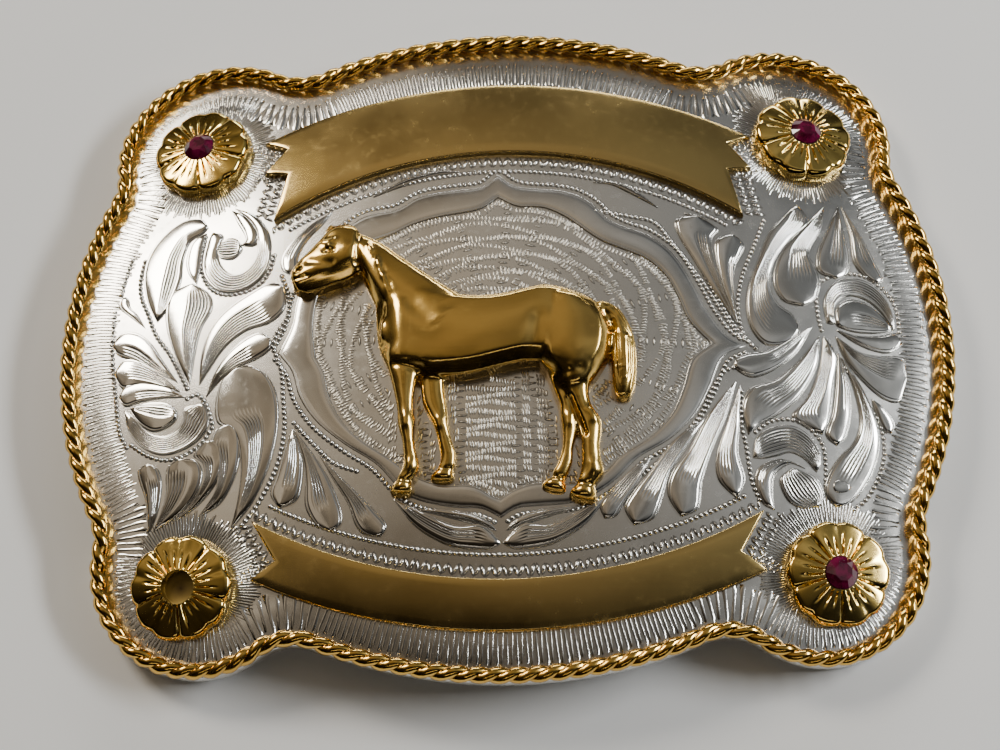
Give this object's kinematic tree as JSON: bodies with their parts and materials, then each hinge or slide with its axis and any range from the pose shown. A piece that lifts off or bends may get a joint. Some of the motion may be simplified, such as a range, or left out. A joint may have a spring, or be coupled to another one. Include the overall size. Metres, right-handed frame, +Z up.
{
  "type": "western trophy buckle",
  "caption": "Domed silver belt buckle with a gold rope edge, ribbons, a standing horse, corner flowers with red stones, and a belt loop and hook post on its back.",
  "frame": {"origin": "on the ground under the middle of the buckle, which rests on the back rims of its four corner lobes", "axes": "+X to the viewer's right along the buckle's length, +Y to its top edge, +Z up, out of the front face"},
  "size_m": [0.114, 0.089, 0.0147],
  "materials": {
    "plate": "silver-coloured, bright-cut engraved, rope margin polished",
    "rope_edge": "gold-coloured twisted rope, polished",
    "banners": "gold-coloured, flat polished with fine scratches",
    "horse": "gold-coloured, polished relief",
    "flowers": "gold-coloured, bright-cut rays",
    "stones": "cut red stone",
    "back_hardware": "plain nickel-coloured wire and post"
  },
  "bodies": {
    "root": {"plate": "plate", "rope_edge": "rope_edge", "banner_top": "banners", "banner_bottom": "banners", "horse": "horse", "flower_top_left": "flowers", "flower_top_right": "flowers", "flower_bottom_left": "flowers", "flower_bottom_right": "flowers", "stone_top_left": "stones", "stone_top_right": "stones", "stone_bottom_right": "stones", "belt_loop": "back_hardware", "hook_post": "back_hardware"}
  },
  "joints": []
}
